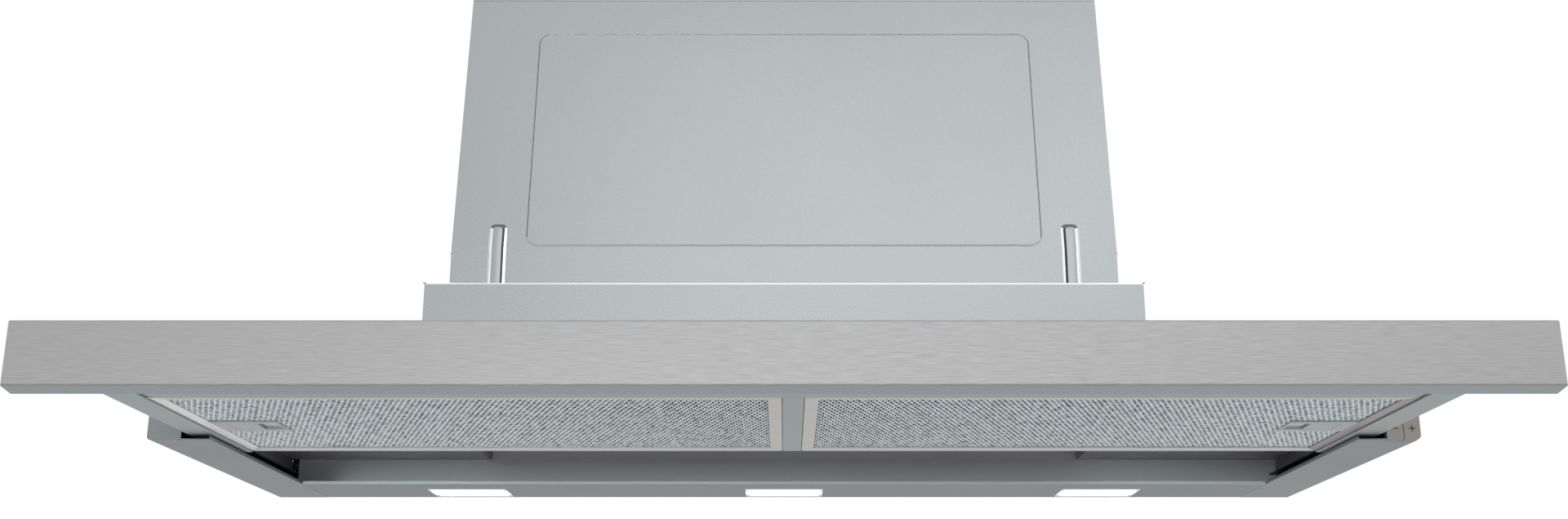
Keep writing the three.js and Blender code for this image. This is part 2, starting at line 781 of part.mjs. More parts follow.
for (const { word, side, inner } of filters) {
  const outer = side * filterOuter;
  const opening = [inner + side * filterSideBorder, outer - side * filterSideBorder];
  const openingY = [filterFront + filterFrontBorder, filterRear - filterRearBorder];
  const frame = cut(
    block([inner, outer], [filterFront, filterRear], [filterBottom, filterBottom + filterHeight]),
    block(opening, openingY, [filterBottom - 1, filterBottom + filterHeight + 1]));

  const plateOuter = opening[1] - side * gap;
  const plateInner = plateOuter - side * latchLength;
  const plateY = [latchY - latchWidth / 2, latchY + latchWidth / 2];
  const pocketOuter = plateOuter - side * sliderInset;
  const pocketInner = pocketOuter - side * (sliderLength + fingerRoom);
  const pocketY = [latchY - sliderWidth / 2 - gap, latchY + sliderWidth / 2 + gap];
  const plate = cut(
    block([plateOuter, plateInner], plateY, [filterBottom, filterBottom + latchThickness]),
    block([pocketOuter, pocketInner], pocketY, [filterBottom - 1, filterBottom + latchPocketDepth]));
  const slider = block([pocketOuter - side * gap, pocketOuter - side * sliderLength],
    [latchY - sliderWidth / 2, latchY + sliderWidth / 2],
    [filterBottom, filterBottom + latchPocketDepth - gap]);

  const meshAcross = [opening[0] + side * gap, opening[1] - side * gap].sort((a, b) => a - b);
  const pack = cut(
    alongY(meshSection(meshAcross), [openingY[0] + gap, openingY[1] - gap]),
    block([plateOuter + side, plateInner - side * gap], [plateY[0] - gap, plateY[1] + gap],
      [meshBottom - 1, filterBottom + latchThickness + gap]));

  add(`filter_frame_${word}`, frame, frameMetal);
  add(`filter_mesh_${word}`, pack, meshMetal);
  add(`latch_plate_${word}`, plate, meshMetal);
  add(`latch_slider_${word}`, slider, meshMetal);
}

export default hood;
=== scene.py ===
import json
import math

import bmesh
import bpy
from mathutils import Matrix, Vector


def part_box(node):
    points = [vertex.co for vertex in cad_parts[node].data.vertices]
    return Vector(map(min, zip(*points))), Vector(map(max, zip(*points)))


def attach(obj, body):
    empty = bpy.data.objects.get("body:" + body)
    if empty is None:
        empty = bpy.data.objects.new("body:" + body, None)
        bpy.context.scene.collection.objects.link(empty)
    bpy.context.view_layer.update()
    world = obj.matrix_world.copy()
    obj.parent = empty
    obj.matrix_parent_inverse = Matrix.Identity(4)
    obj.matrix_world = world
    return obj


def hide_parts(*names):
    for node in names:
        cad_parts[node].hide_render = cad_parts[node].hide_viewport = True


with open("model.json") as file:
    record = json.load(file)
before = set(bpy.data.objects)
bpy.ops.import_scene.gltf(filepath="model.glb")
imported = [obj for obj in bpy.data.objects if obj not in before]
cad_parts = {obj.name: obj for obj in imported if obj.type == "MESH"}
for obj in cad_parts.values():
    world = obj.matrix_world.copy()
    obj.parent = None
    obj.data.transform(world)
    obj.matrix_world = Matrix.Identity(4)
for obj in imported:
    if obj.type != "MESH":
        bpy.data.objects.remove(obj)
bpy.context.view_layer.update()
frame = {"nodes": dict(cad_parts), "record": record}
MM = 0.001

# ---- Camera ----
# The hood is seen from the front and from below, from a step away, looking a little upwards.
# The lens makes the front bar as wide as the picture.
bpy.ops.object.camera_add(location=(0, -1.351, -0.2228), rotation=(math.radians(90 + 14.75), 0, 0))
camera = bpy.context.object
camera.name = "camera"
camera.data.sensor_width = 36
camera.data.lens = 35.03
camera.data.shift_y = 0.036
bpy.context.scene.camera = camera

# ---- Floor, room and lamps ----
# A pale floor well under the hood, where a hob would stand, and a white room with three large soft lamps
# round the hood and a small one far in front. The camera, metal and glass see the room as plain white, and
# the floor keeps a soft shadow.
bpy.context.scene.view_settings.view_transform = "Standard"
floor_height, floor_size, floor_glow = -0.62, 16, 0.6
room_light = 0.55


def maths(nodes, links, operation, *inputs):
    """The result of a Math node. Each input is a socket to link or a number to set."""
    node = nodes.new("ShaderNodeMath")
    node.operation = operation
    for socket, value in zip(node.inputs, inputs):
        if isinstance(value, bpy.types.NodeSocket):
            links.new(value, socket)
        else:
            socket.default_value = value
    return node.outputs[0]


def white_to_the_eye(nodes, links):
    """Light Path's camera, glossy and transmission rays, added up into one mask."""
    rays = nodes.new("ShaderNodeLightPath").outputs
    both = maths(nodes, links, "MAXIMUM", rays["Is Camera Ray"], rays["Is Glossy Ray"])
    return maths(nodes, links, "MAXIMUM", both, rays["Is Transmission Ray"])


def mix_shaders(nodes, links, share, first, second, output):
    """Mixes two shaders by the share, on into an output node of this kind."""
    mix = nodes.new("ShaderNodeMixShader")
    for source, socket in zip((share, first.outputs[0], second.outputs[0]), mix.inputs):
        links.new(source, socket)
    links.new(mix.outputs[0], nodes.new(output).inputs[0])


world = bpy.data.worlds.new("white_room")
bpy.context.scene.world = world
world.use_nodes = True
nodes, links = world.node_tree.nodes, world.node_tree.links
nodes.clear()
seen, lighting = nodes.new("ShaderNodeBackground"), nodes.new("ShaderNodeBackground")
for background in (seen, lighting):
    background.inputs["Color"].default_value = (1, 1, 1, 1)
lighting.inputs["Strength"].default_value = room_light
mix_shaders(nodes, links, white_to_the_eye(nodes, links), lighting, seen, "ShaderNodeOutputWorld")

bpy.ops.mesh.primitive_plane_add(size=floor_size, location=(0, 0, floor_height))
floor = bpy.context.object
floor.name = "floor"
floor_paint = bpy.data.materials.new("pale_floor")
floor_paint.use_nodes = True
nodes, links = floor_paint.node_tree.nodes, floor_paint.node_tree.links
nodes.clear()
matt, glow = nodes.new("ShaderNodeBsdfDiffuse"), nodes.new("ShaderNodeEmission")
matt.inputs["Color"].default_value = (0.86, 0.86, 0.86, 1)
glow_share = maths(nodes, links, "MULTIPLY", white_to_the_eye(nodes, links), floor_glow)
mix_shaders(nodes, links, glow_share, matt, glow, "ShaderNodeOutputMaterial")
floor.data.materials.append(floor_paint)


def soft_lamp(name, place, aim, size, power, spread=180):
    """A square lamp that faces the point aim and lights a cone of this many degrees."""
    way = Vector(aim) - Vector(place)
    bpy.ops.object.light_add(type="AREA", location=place, rotation=way.to_track_quat("-Z", "Y").to_euler())
    lamp = bpy.context.object
    lamp.name = name
    lamp.data.shape = "SQUARE"
    lamp.data.size = size
    lamp.data.energy = power
    lamp.data.spread = math.radians(spread)


soft_lamp("key_lamp", (0.4, -2.9, 1.35), (0, -0.2, 0.1), size=2.0, power=10)
soft_lamp("fill_lamp", (2.2, -1.2, 0.9), (0, -0.2, 0.1), size=1.4, power=5)
soft_lamp("rear_lamp", (0.3, 1.6, 1.7), (0, -0.1, 0.2), size=1.4, power=8)
soft_lamp("low_lamp", (-0.7, -4.5, -0.36), (0, 0, 0), size=0.45, power=2.5, spread=60)

# ---- Sheet metal of the carcass ----
# Two folded side members and two top plates of steel sheet make the shallow lower case. The sheet is coated
# grey outside and pale inside, and the pale inside is made lighter still as painted light in the shade of
# the case. It is pressed and spot-welded, so every fold has a small round edge.


def choose_only(piece):
    bpy.ops.object.select_all(action="DESELECT")
    piece.select_set(True)
    bpy.context.view_layer.objects.active = piece


def shape_with(piece, kind, **settings):
    """Puts a modifier on the piece and applies it."""
    choose_only(piece)
    modifier = piece.modifiers.new(kind.title(), kind)
    for setting, value in settings.items():
        setattr(modifier, setting, value)
    bpy.ops.object.modifier_apply(modifier=modifier.name)


def round_edges(piece, width, segments=2, angle=28, smooth_below=5):
    """Rounds all the sharp edges, and shades the piece so that its flat faces stay flat."""
    shape_with(piece, "BEVEL", width=width, segments=segments, limit_method="ANGLE",
               angle_limit=math.radians(angle))
    bpy.ops.object.shade_smooth_by_angle(angle=math.radians(smooth_below))


def body_of(node):
    bodies = frame["record"]["behaviour"]["bodies"]
    return next(body for body, members in bodies.items() if node in members)


def add_on(piece, finish, body):
    """The piece, in its finish, moves with the body. No finish means that it has its own already."""
    if finish:
        piece.data.materials.clear()
        piece.data.materials.append(finish)
    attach(piece, body)


def stand_for(piece, finish, cad_node):
    """The piece takes the place of the CAD node."""
    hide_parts(cad_node)
    add_on(piece, finish, body_of(cad_node))


def near(value, target):
    return abs(value - target) < 0.05 * MM


def bevel_where(piece, chosen, width, segments=6):
    """Rounds the edges whose two ends are both chosen."""
    choose_only(piece)
    bpy.ops.object.mode_set(mode="EDIT")
    bpy.ops.mesh.select_all(action="DESELECT")
    mesh = bmesh.from_edit_mesh(piece.data)
    for edge in mesh.edges:
        if all(chosen(corner.co) for corner in edge.verts):
            edge.select_set(True)
    bmesh.update_edit_mesh(piece.data)
    bpy.ops.mesh.bevel(offset=width, segments=segments)
    bpy.ops.object.mode_set(mode="OBJECT")


def with_round_edges(cad_node, finish, width=0.25 * MM, smooth_below=5, large=None):
    """A copy of a CAD node with its triangles merged into faces and its folds rounded.

    large is a larger radius and a test of the corners whose edges get it."""
    piece = bpy.data.objects.new(cad_node + "_made", frame["nodes"][cad_node].data.copy())
    bpy.context.scene.collection.objects.link(piece)
    choose_only(piece)
    bpy.ops.object.mode_set(mode="EDIT")
    bpy.ops.mesh.select_all(action="SELECT")
    bpy.ops.mesh.remove_doubles(threshold=0.005 * MM)
    bpy.ops.mesh.dissolve_limited(angle_limit=math.radians(1))
    bpy.ops.object.mode_set(mode="OBJECT")
    if large:
        radius, chosen = large
        bevel_where(piece, chosen, radius)
    round_edges(piece, width, smooth_below=smooth_below)
    stand_for(piece, finish, cad_node)
    return piece


def coat_where(piece, finish, chosen):
    """A second finish for the faces that are chosen by their normal and their middle."""
    piece.data.materials.append(finish)
    for face in piece.data.polygons:
        if chosen(face.normal, face.center):
            face.material_index = len(piece.data.materials) - 1


def add_sockets(group, inputs, outputs):
    for name, kind, value in inputs:
        socket = group.interface.new_socket(name, in_out="INPUT", socket_type=kind)
        if value is not None:
            socket.default_value = value
    for name, kind in outputs:
        group.interface.new_socket(name, in_out="OUTPUT", socket_type=kind)


def rolled_grain_group():
    """Grain of rolled or brushed metal: fine lines or specks in tone, gloss and height."""
    group = bpy.data.node_groups.new("rolled_grain", "ShaderNodeTree")
    add_sockets(group, [
        ("Vector", "NodeSocketVector", None),
        ("Colour", "NodeSocketColor", (0.5, 0.5, 0.5, 1)),
        ("Stretch", "NodeSocketVector", (1, 1, 1)),
        ("Scale", "NodeSocketFloat", 900),
        ("Depth", "NodeSocketFloat", 0.1),
        ("Roughness", "NodeSocketFloat", 0.4),
        ("Cloud", "NodeSocketFloat", 0.04),
    ], [("Colour", "NodeSocketColor"), ("Roughness", "NodeSocketFloat"), ("Height", "NodeSocketFloat")])
    nodes, links = group.nodes, group.links
    inside, out = nodes.new("NodeGroupInput").outputs, nodes.new("NodeGroupOutput").inputs
    stretch = nodes.new("ShaderNodeVectorMath")
    stretch.operation = "MULTIPLY"
    links.new(inside["Vector"], stretch.inputs[0])
    links.new(inside["Stretch"], stretch.inputs[1])
    grain = nodes.new("ShaderNodeTexNoise")
    grain.inputs["Detail"].default_value = 3
    links.new(stretch.outputs[0], grain.inputs["Vector"])
    links.new(inside["Scale"], grain.inputs["Scale"])
    cloud = nodes.new("ShaderNodeTexNoise")
    cloud.inputs["Scale"].default_value = 7
    cloud.inputs["Detail"].default_value = 2
    links.new(inside["Vector"], cloud.inputs["Vector"])

    def centred(source, amount):
        """(source - 0.5) times the named input."""
        return maths(nodes, links, "MULTIPLY", maths(nodes, links, "SUBTRACT", source, 0.5), inside[amount])

    both = maths(nodes, links, "ADD", centred(grain.outputs["Fac"], "Depth"),
                 centred(cloud.outputs["Fac"], "Cloud"))
    colour = nodes.new("ShaderNodeVectorMath")
    colour.operation = "SCALE"
    links.new(inside["Colour"], colour.inputs[0])
    links.new(maths(nodes, links, "ADD", both, 1), colour.inputs["Scale"])
    links.new(colour.outputs[0], out["Colour"])
    links.new(maths(nodes, links, "SUBTRACT", inside["Roughness"], both), out["Roughness"])
    links.new(grain.outputs["Fac"], out["Height"])
    return group


rolled_grain = rolled_grain_group()


def tone(red, green, blue):
    """A colour seen on a screen as these 0 to 255 values, as light."""
    steps = (value / 255 for value in (red, green, blue))
    return tuple(s / 12.92 if s <= 0.04045 else ((s + 0.055) / 1.055) ** 2.4 for s in steps) + (1,)


def metal_finish(name, colour, metallic=0.6, roughness=0.42, stretch=(1, 1, 1), scale=900,
                 depth=0.12, cloud=0.05, bump=0.02 * MM, anisotropic=0.0):
    """A metal or metallic coat whose grain comes from the rolled_grain group."""
    material = bpy.data.materials.new(name)
    material.use_nodes = True
    nodes, links = material.node_tree.nodes, material.node_tree.links
    shader = nodes["Principled BSDF"]
    shader.inputs["Metallic"].default_value = metallic
    shader.inputs["Anisotropic"].default_value = anisotropic
    place = nodes.new("ShaderNodeTexCoord")
    grain = nodes.new("ShaderNodeGroup")
    grain.node_tree = rolled_grain
    for socket, value in (("Colour", colour), ("Stretch", stretch), ("Scale", scale), ("Depth", depth),
                          ("Roughness", roughness), ("Cloud", cloud)):
        grain.inputs[socket].default_value = value
    links.new(place.outputs["Object"], grain.inputs["Vector"])
    links.new(grain.outputs["Colour"], shader.inputs["Base Color"])
    links.new(grain.outputs["Roughness"], shader.inputs["Roughness"])
    relief = nodes.new("ShaderNodeBump")
    relief.inputs["Distance"].default_value = bump
    links.new(grain.outputs["Height"], relief.inputs["Height"])
    links.new(relief.outputs[0], shader.inputs["Normal"])
    return material


carcass_coat = metal_finish("carcass_coat", tone(132, 139, 142))
# The inside is pale, and its tone is raised further as painted light where the inside of the case lies in
# shade.
inner_sheet_and_painted_light = metal_finish("inner_sheet_and_painted_light", tone(240, 245, 247), metallic=0.1, roughness=0.5, depth=0.16)
corner_radius, front_lip_end = 2.6 * MM, -280 * MM
for side in ("left", "right"):
    low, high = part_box(f"carcass_side_{side}")
    outer = low.x if side == "left" else high.x
    with_round_edges(f"carcass_side_{side}", carcass_coat, 0.3 * MM, large=(
        corner_radius, lambda at: near(at.x, outer) and near(at.z, low.z)))
    top_plate = with_round_edges(f"carcass_top_{side}", carcass_coat, 0.2 * MM)
    coat_where(top_plate, inner_sheet_and_painted_light, lambda normal, middle: normal.z < -0.5 and middle.y > front_lip_end)

# ---- Inside of the carcass ----
# The rear channel closes the case towards the wall and hides the cables. Plain side walls hang beside it.
# At the left end of the slot sits a black block that is painted shade for the dark inside of the slot, with
# three small grey clips at its front. The slide channels are black plastic, and the visor's runners glide in
# them.
wall_sheet = metal_finish("wall_sheet", tone(130, 136, 139), metallic=0.3, roughness=0.5, depth=0.16)


def plastic_finish(name, colour, roughness=0.5, scale=1400, depth=0.25):
    """Moulded plastic: a fine spark-eroded skin over a plain colour."""
    material = metal_finish(name, colour, metallic=0.0, roughness=roughness, scale=scale,
                            depth=depth, cloud=0.08, bump=0.03 * MM)
    material.node_tree.nodes["Principled BSDF"].inputs["IOR"].default_value = 1.49
    return material


def finish_node(cad_node, finish):
    """A CAD node whose shape is right, in its finish."""
    mesh = frame["nodes"][cad_node].data
    mesh.materials.clear()
    mesh.materials.append(finish)


def block_between(name, low, high):
    """A box from one corner to the other, started as a cube and sized in edit mode."""
    bpy.ops.object.select_all(action="DESELECT")
    bpy.ops.mesh.primitive_cube_add(size=1)
    piece = bpy.context.object
    piece.name = name
    size, middle = Vector(high) - Vector(low), (Vector(high) + Vector(low)) / 2
    bpy.ops.object.mode_set(mode="EDIT")
    bpy.ops.transform.resize(value=size)
    bpy.ops.transform.translate(value=middle)
    bpy.ops.object.mode_set(mode="OBJECT")
    return piece


def joined(name, pieces):
    """Several shapes made one piece."""
    bpy.ops.object.select_all(action="DESELECT")
    for piece in pieces:
        piece.select_set(True)
    bpy.context.view_layer.objects.active = pieces[0]
    bpy.ops.object.join()
    pieces[0].name = name
    return pieces[0]


black_plastic = plastic_finish("black_plastic", tone(30, 31, 33))
grey_plastic = plastic_finish("grey_plastic", tone(118, 122, 125))
# The rear channel is in the pale inside finish, painted lighter as painted light in the shade of the case.
with_round_edges("rear_channel", inner_sheet_and_painted_light, 0.2 * MM)
for side in ("left", "right"):
    with_round_edges(f"inner_side_wall_{side}", wall_sheet, 0.2 * MM)
    finish_node(f"slide_channel_{side}", black_plastic)
    finish_node(f"front_glide_{side}", black_plastic)

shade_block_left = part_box("inner_side_wall_left")[1].x + 0.4 * MM
shade_block_foot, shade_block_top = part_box("rear_channel")[0].z, -1 * MM
slot_front, shade_block_wide, shade_block_inset, shade_block_thick = -12 * MM, 7 * MM, 0.6 * MM, 2.4 * MM
cable_clip_thick, cable_clip_tall = 1 * MM, 1.6 * MM
shade_block_front = slot_front + shade_block_inset
# A black block in the slot, as painted shade for the dark inside of the slot.
slot_shade_block = block_between("slot_shade_block", (shade_block_left, shade_block_front, shade_block_foot),
                            (shade_block_left + shade_block_wide, shade_block_front + shade_block_thick, shade_block_top))
cable_clips = [block_between("cable_clip", (shade_block_left + start * MM, slot_front, foot * MM),
                             (shade_block_left + end * MM, slot_front + cable_clip_thick,
                              foot * MM + cable_clip_tall))
               for start, end, foot in ((2.4, 6, -8), (1.2, 2.8, -12), (2.4, 6, -27))]
for form, finish in zip([slot_shade_block] + cable_clips, [black_plastic] + [grey_plastic] * len(cable_clips)):
    round_edges(form, 0.3 * MM)
    form.data.materials.append(finish)
add_on(joined("slot_shade_block", [slot_shade_block] + cable_clips), None, "hood")

# ---- Light strip and its lamps ----
# A sheet tray along the wall carries three lamp modules. Each frosted lens shines through a window in it.
# Two clips on each short side of a lens hold it.
strip_coat = metal_finish("strip_coat", tone(124, 130, 133))
painted_highlight_lip = metal_finish("painted_highlight_lip", tone(206, 212, 215), metallic=0.3)
strip = with_round_edges("light_strip", strip_coat, 0.3 * MM)
# The faces of the tray that look to the front are lighter: a painted highlight along its front lip.
coat_where(strip, painted_highlight_lip, lambda normal, middle: normal.y < -0.5)
frost_scale, lens_glow = 500, 0.9
lens_light = bpy.data.materials.new("frosted_lens")
lens_light.use_nodes = True
nodes, links = lens_light.node_tree.nodes, lens_light.node_tree.links
shader = nodes["Principled BSDF"]
shader.inputs["Roughness"].default_value = 0.5
shader.inputs["Emission Strength"].default_value = lens_glow
place = nodes.new("ShaderNodeTexCoord")
frost = nodes.new("ShaderNodeTexNoise")
frost.inputs["Scale"].default_value = frost_scale
glow = nodes.new("ShaderNodeValToRGB")
glow.color_ramp.elements[0].color = (0.93, 0.95, 1, 1)
glow.color_ramp.elements[1].color = (1, 1, 1, 1)
links.new(place.outputs["Object"], frost.inputs["Vector"])
links.new(frost.outputs["Fac"], glow.inputs["Fac"])
links.new(glow.outputs["Color"], shader.inputs["Base Color"])
links.new(glow.outputs["Color"], shader.inputs["Emission Color"])
clip_size, clip_height, clip_inset = 3.2 * MM, 0.8 * MM, 5 * MM
for word in ("left", "middle", "right"):
    finish_node(f"lamp_module_{word}", grey_plastic)
    low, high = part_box(f"lamp_lens_{word}")
    lens = block_between(f"lens_{word}", low, high)
    round_edges(lens, 0.3 * MM)
    stand_for(lens, lens_light, f"lamp_lens_{word}")
    clips = []
    for left in (low.x, high.x - clip_size):
        for y in (low.y + clip_inset, high.y - clip_inset):
            clips.append(block_between("clip", (left, y - clip_size / 2, low.z - clip_height / 4),
                                       (left + clip_size, y + clip_size / 2, low.z + clip_height)))
            round_edges(clips[-1], 0.2 * MM)
    add_on(joined(f"lens_clips_{word}", clips), grey_plastic, "hood")

# ---- Keys ----
# Two small keys with a warm grey metallic coat close the right front corner, each with a black sign printed
# on it. The black switch housing behind them fills the corner.
key_coat = metal_finish("key_coat", tone(142, 138, 133), metallic=0.5, roughness=0.4, scale=1600)
sign_ink = plastic_finish("sign_ink", tone(16, 16, 17), roughness=0.35)
sign_length, sign_width, sign_height = 4.6 * MM, 0.75 * MM, 8.2 * MM
sign_proud, sign_root = 0.06 * MM, 0.1 * MM
finish_node("key_housing", black_plastic)
for word, strokes in (("minus", [(sign_length, sign_width)]),
                      ("plus", [(sign_length, sign_width), (sign_width, sign_length)])):
    with_round_edges(f"key_{word}", key_coat, 0.25 * MM)
    low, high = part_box(f"key_{word}")
    middle_x, middle_z = (low.x + high.x) / 2, low.z + sign_height
    sign = joined(f"sign_{word}", [
        block_between("stroke", (middle_x - wide / 2, low.y - sign_proud, middle_z - tall / 2),
                      (middle_x + wide / 2, low.y + sign_root, middle_z + tall / 2))
        for wide, tall in strokes])
    add_on(sign, sign_ink, body_of(f"key_{word}"))

# ---- Lower housing and motor box ----
# The lower housing is a folded band on the carcass. The motor box stands on it: a front sheet with a bend,
# an embossed panel and two stiffening beads, then sides, back and top. Screws hold the sheets together.
box_coat = metal_finish("box_coat", tone(168, 173, 175), roughness=0.29, scale=1300, depth=0.2,
                        bump=0.012 * MM)
# Lit and shaded copies of the coat for the walls of the panel and the beads, the top fold of the lower
# housing and its ears: painted highlights and painted shade, picked by which way each face looks.
painted_highlight_slope = metal_finish("painted_highlight_slope", tone(248, 250, 251), metallic=1.0, roughness=0.2, depth=0.04)
shaded_slope = metal_finish("shaded_slope", tone(112, 116, 119), metallic=0.5, roughness=0.3, depth=0.06)
painted_dark_shade_slope = metal_finish("painted_dark_shade_slope", tone(64, 67, 71), metallic=0.5, roughness=0.3, depth=0.06)
painted_pale_highlight_slope = metal_finish("painted_pale_highlight_slope", tone(250, 251, 252), metallic=0.1, roughness=0.4, depth=0.04)
sheet = 1 * MM
bend_height, box_lean = 132.5 * MM, 28.5 * MM
panel_wide, panel_tall, panel_radius = 404 * MM, 192.3 * MM, 9.5 * MM
panel_above_bend, panel_rise, panel_slope, panel_root = 1.5 * MM, 1 * MM, 0.8 * MM, 0.1 * MM
groove_wide, groove_deep = 0.35 * MM, 0.5 * MM
bead_middle, bead_above_bend, bead_rise = 224.3 * MM, 20 * MM, 3 * MM
bead_half, bead_flat_half, bead_radius, bead_root = 7 * MM, 3.7 * MM, 4.6 * MM, 0.3 * MM
front_low, front_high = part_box("motor_box_front")
box_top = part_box("motor_box_top")[1].z
box_face = front_low.y + bead_rise


def loft(name, rings):
    """A shape drawn as one closed outline and extruded through the others, which have as many points."""
    bpy.ops.object.select_all(action="DESELECT")
    bpy.ops.mesh.primitive_circle_add(vertices=len(rings[0]), fill_type="NGON")
    piece = bpy.context.object
    piece.name = name
    bpy.ops.object.mode_set(mode="EDIT")
    bpy.ops.mesh.select_all(action="SELECT")
    mesh = bmesh.from_edit_mesh(piece.data)
    for corner, point in zip(mesh.verts, rings[0]):
        corner.co = point
    bmesh.update_edit_mesh(piece.data)
    for ring, next_ring in zip(rings, rings[1:]):
        bpy.ops.mesh.extrude_region_move()
        mesh = bmesh.from_edit_mesh(piece.data)
        for corner in (v for v in mesh.verts if v.select):
            spot = min(range(len(ring)), key=lambda i: (corner.co - Vector(ring[i])).length)
            corner.co = next_ring[spot]
        bmesh.update_edit_mesh(piece.data)
    bpy.ops.mesh.select_all(action="SELECT")
    bpy.ops.mesh.normals_make_consistent(inside=False)
    bpy.ops.object.mode_set(mode="OBJECT")
    return piece


def prism(name, outline, along, span):
    """A profile that runs straight along one axis. Its points are the two other coordinates in turn."""
    rings = []
    for station in span:
        ring = [list(point) for point in outline]
        for point in ring:
            point.insert(along, station)
        rings.append(ring)
    return loft(name, rings)


def cut_out(piece, tool):
    """Takes the shape of the tool out of the piece."""
    shape_with(piece, "BOOLEAN", operation="DIFFERENCE", solver="EXACT", object=tool)
    bpy.data.objects.remove(tool)


def arc(middle, radius, start, end, steps=7):
    """Points on a quarter or so of a circle, angles in degrees."""
    turns = (math.radians(start + (end - start) * i / steps) for i in range(steps + 1))
    return [(middle[0] + radius * math.cos(a), middle[1] + radius * math.sin(a)) for a in turns]


def round_corners(half_wide, low, high, radius):
    """A rectangle's outline with round corners, as (across, up) points from the lower left."""
    return (arc((-half_wide + radius, low + radius), radius, 180, 270)
            + arc((half_wide - radius, low + radius), radius, 270, 360)
            + arc((half_wide - radius, high - radius), radius, 0, 90)
            + arc((-half_wide + radius, high - radius), radius, 90, 180))


def face_y(z):
    """The front sheet stands upright to the bend and leans back above it."""
    return box_face + box_lean * max(0, z - bend_height) / (box_top - bend_height)


def colour_slopes(piece, finish_for):
    """Each face gets the coat, a painted highlight or painted shade, as its normal and its middle call for.
    """
    finishes = [box_coat, painted_highlight_slope, shaded_slope, painted_dark_shade_slope, painted_pale_highlight_slope]
    piece.data.materials.clear()
    for finish in finishes:
        piece.data.materials.append(finish)
    for face in piece.data.polygons:
        face.material_index = finishes.index(finish_for(face.normal, face.center))


def front_sheet():
    heights = (front_low.z, bend_height, front_high.z)
    piece = prism("front_sheet", [(face_y(z), z) for z in heights]
                  + [(face_y(z) + sheet, z) for z in reversed(heights)], 0, (front_low.x, front_high.x))
    piece.data.materials.append(box_coat)
    return piece


def panel_ring(grow, level):
    """The panel's outline on the leaning sheet, grown sideways and raised out of the sheet."""
    lean = math.atan2(box_lean, box_top - bend_height)
    up, out = Vector((0, math.sin(lean), math.cos(lean))), Vector((0, -math.cos(lean), math.sin(lean)))
    foot = bend_height + panel_above_bend
    corner = Vector((0, face_y(foot), foot))
    outline = round_corners(panel_wide / 2 + grow, -grow, panel_tall + grow, panel_radius + grow)
    return [corner + Vector((across, 0, 0)) + up * rise + out * level for across, rise in outline]


def embossed_panel():
    """The raised panel, with a sloped wall that starts in a shallow groove."""
    pad = loft("panel", [panel_ring(0, -groove_deep - panel_root), panel_ring(0, -groove_deep),
                         panel_ring(-panel_slope, panel_rise)])

    def slope_finish(normal, middle):
        """The flat keeps the coat. Its upper wall gets dark painted shade, its lower one a pale painted
        highlight and the side walls painted shade.
        """
        if normal.y < -0.9:
            return box_coat
        if normal.z > 0.45:
            return painted_dark_shade_slope
        return painted_pale_highlight_slope if normal.z < -0.2 else shaded_slope

    colour_slopes(pad, slope_finish)
    return pad


def bead_ring(side, share, level):
    """One level of a bead: its outline shrinks towards the flat as the share goes from 0 to 1."""
    half = bead_half + (bead_flat_half - bead_half) * share
    head = bend_height + bead_above_bend - (bead_half - bead_flat_half) * share
    radius = bead_radius * half / bead_half
    outline = [(-half, front_low.z), (half, front_low.z), (half, bend_height)]
    outline += arc((half - radius, head - radius), radius, 0, 90)
    outline += arc((-half + radius, head - radius), radius, 90, 180) + [(-half, bend_height)]
    return [(side * bead_middle + across, face_y(z) - level, z) for across, z in outline]


def bead(side):
    """A pressed rib from the sheet's foot to above the bend, with sloped walls and a round head."""
    rib = loft("bead", [bead_ring(side, 0, -bead_root), bead_ring(side, 0, 0),
                        bead_ring(side, 0.5, bead_rise / 2), bead_ring(side, 1, bead_rise)])
    choose_only(rib)
    bpy.ops.object.mode_set(mode="EDIT")
    bpy.ops.mesh.select_all(action="SELECT")
    bpy.ops.mesh.bisect(plane_co=(0, 0, bend_height), plane_no=(0, 0, 1))
    bpy.ops.object.mode_set(mode="OBJECT")

    def slope_finish(normal, middle):
        """The flat keeps the coat. The foot of each wall and all of the outer wall get a painted highlight,
        the head painted shade and the rest dark painted shade.
        """
        outer_part = middle.y > face_y(middle.z) - bead_rise / 2
        if normal.y < -0.95:
            return box_coat
        if normal.z > 0.35:
            return shaded_slope
        return painted_highlight_slope if normal.x * side > 0 or outer_part else painted_dark_shade_slope

    colour_slopes(rib, slope_finish)
    return rib


box_front = front_sheet()
cut_out(box_front, loft("pocket", [panel_ring(groove_wide, -groove_deep), panel_ring(groove_wide, sheet)]))
round_edges(box_front, 0.12 * MM)
panel, left_bead, right_bead = embossed_panel(), bead(-1), bead(1)
for form in (panel, left_bead, right_bead):
    round_edges(form, 0.1 * MM, segments=1, angle=20, smooth_below=24)
stand_for(joined("motor_box_front_made", [box_front, panel, left_bead, right_bead]), None, "motor_box_front")

housing_low, housing_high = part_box("lower_housing")
fold_radius, ear, ear_inset = 1.1 * MM, 1.4 * MM, 0.2 * MM
housing = with_round_edges("lower_housing", box_coat, 0.2 * MM, large=(
    fold_radius, lambda at: near(at.y, housing_low.y) and near(at.z, housing_high.z)))
